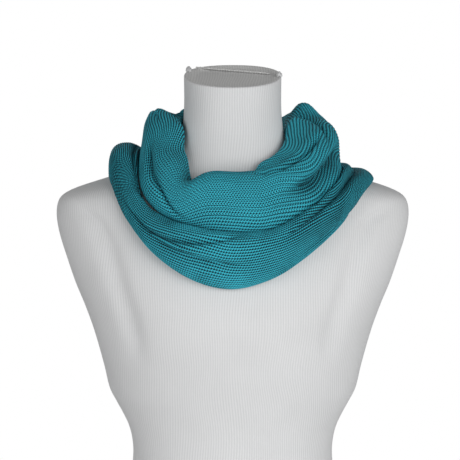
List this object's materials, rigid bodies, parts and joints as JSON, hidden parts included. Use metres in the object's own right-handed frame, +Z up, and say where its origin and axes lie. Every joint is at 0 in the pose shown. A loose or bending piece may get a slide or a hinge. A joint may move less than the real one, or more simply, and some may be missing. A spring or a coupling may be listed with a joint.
{
  "type": "infinity scarf on a dress form",
  "caption": "Ribbed knit infinity scarf wound twice round the neck of a white limbless dress form.",
  "frame": {"origin": "centre of the form's flat base, straight below the middle of the neck", "axes": "+Z up, the front of the form faces -Y, +X to the viewer's right"},
  "size_m": [0.4, 0.2817, 0.6982],
  "materials": {
    "knit": "matte",
    "cover": "matte"
  },
  "bodies": {
    "root": {"form_body": "cover", "form_cap_seam": "cover", "form_seam_ear_left": "cover", "form_seam_ear_right": "cover", "scarf_upper_turn": "knit", "scarf_lower_turn": "knit"}
  },
  "joints": []
}
